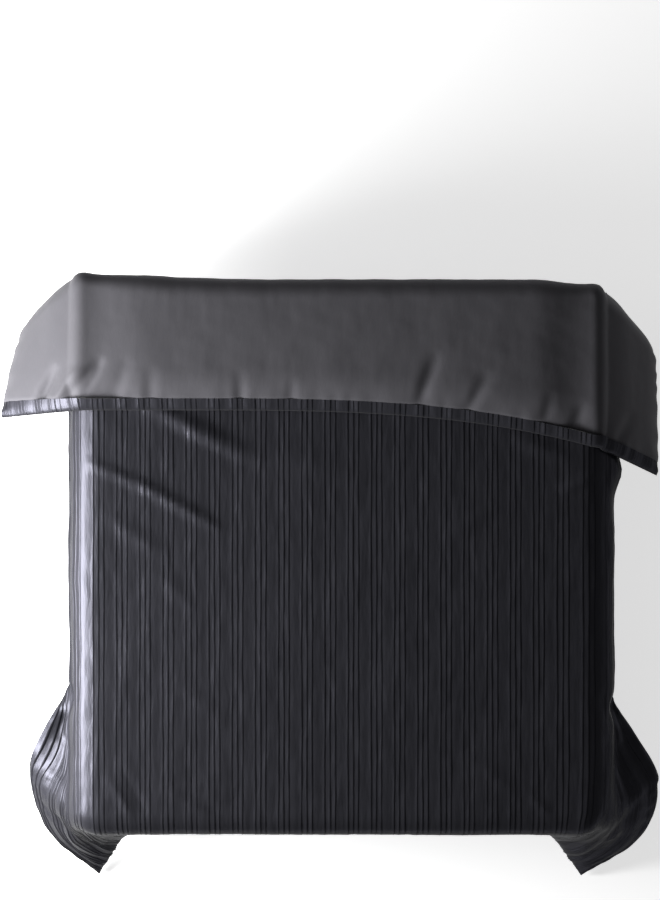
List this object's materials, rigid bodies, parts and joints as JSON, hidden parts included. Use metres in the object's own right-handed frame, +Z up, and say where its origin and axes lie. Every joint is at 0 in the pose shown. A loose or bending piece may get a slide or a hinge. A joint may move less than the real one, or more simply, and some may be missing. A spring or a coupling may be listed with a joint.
{
  "type": "duvet",
  "caption": "Duvet laid over a bed with its head end turned back: tucked cover face, plain reverse, channelled insert and a foot zip.",
  "frame": {"origin": "on the flat underside where the duvet rests on the mattress, on the bed's centre line, 745 mm from the mattress's foot edge", "axes": "+X across the bed, to the right for someone looking from its foot to its head; +Y towards the head; +Z up"},
  "size_m": [1.8665, 1.7501, 0.4993],
  "materials": {
    "tucked_face": "satin-woven cotton in near-black anthracite, stitched in fine tucks, three to a group",
    "plain_reverse": "smooth charcoal sateen",
    "ticking": "white down-proof cotton",
    "filling": "white fibre filling",
    "ribbon": "dark cotton tape",
    "label": "blank woven label",
    "zip_tape": "black polyester zip tape",
    "zip_teeth": "black nylon coil",
    "zip_metal": "grey plated metal"
  },
  "bodies": {
    "duvet": {"cover_face": "tucked_face", "cover_reverse": "plain_reverse", "insert_shell_upper": "ticking", "insert_shell_lower": "ticking", "filling_channel_1": "filling", "filling_channel_2": "filling", "filling_channel_3": "filling", "filling_channel_4": "filling", "filling_channel_5": "filling", "filling_channel_6": "filling", "filling_channel_7": "filling", "filling_channel_8": "filling", "cover_tie_head_left": "ribbon", "cover_tie_head_right": "ribbon", "cover_tie_foot_left": "ribbon", "cover_tie_foot_right": "ribbon", "insert_loop_head_left": "ticking", "insert_loop_head_right": "ticking", "insert_loop_foot_left": "ticking", "insert_loop_foot_right": "ticking", "care_label": "label", "zip_tape_upper": "zip_tape", "zip_tape_lower": "zip_tape", "zip_teeth_upper": "zip_teeth", "zip_teeth_lower": "zip_teeth", "zip_stop_closed_end": "zip_metal", "zip_stop_open_end": "zip_metal"},
    "slider": {"zip_slider": "zip_metal"},
    "pull": {"zip_pull": "zip_metal"}
  },
  "joints": [
    {"name": "zip_slide", "type": "slide", "parent": "duvet", "child": "slider", "axis": [-1, 0, 0], "range_m": [0, 0.88]},
    {"name": "pull_swing", "type": "hinge", "parent": "slider", "child": "pull", "pos_m": [0.4407, -0.7735, -0.34794], "axis": [0, 1, 0], "range_deg": [-85, 85]}
  ]
}
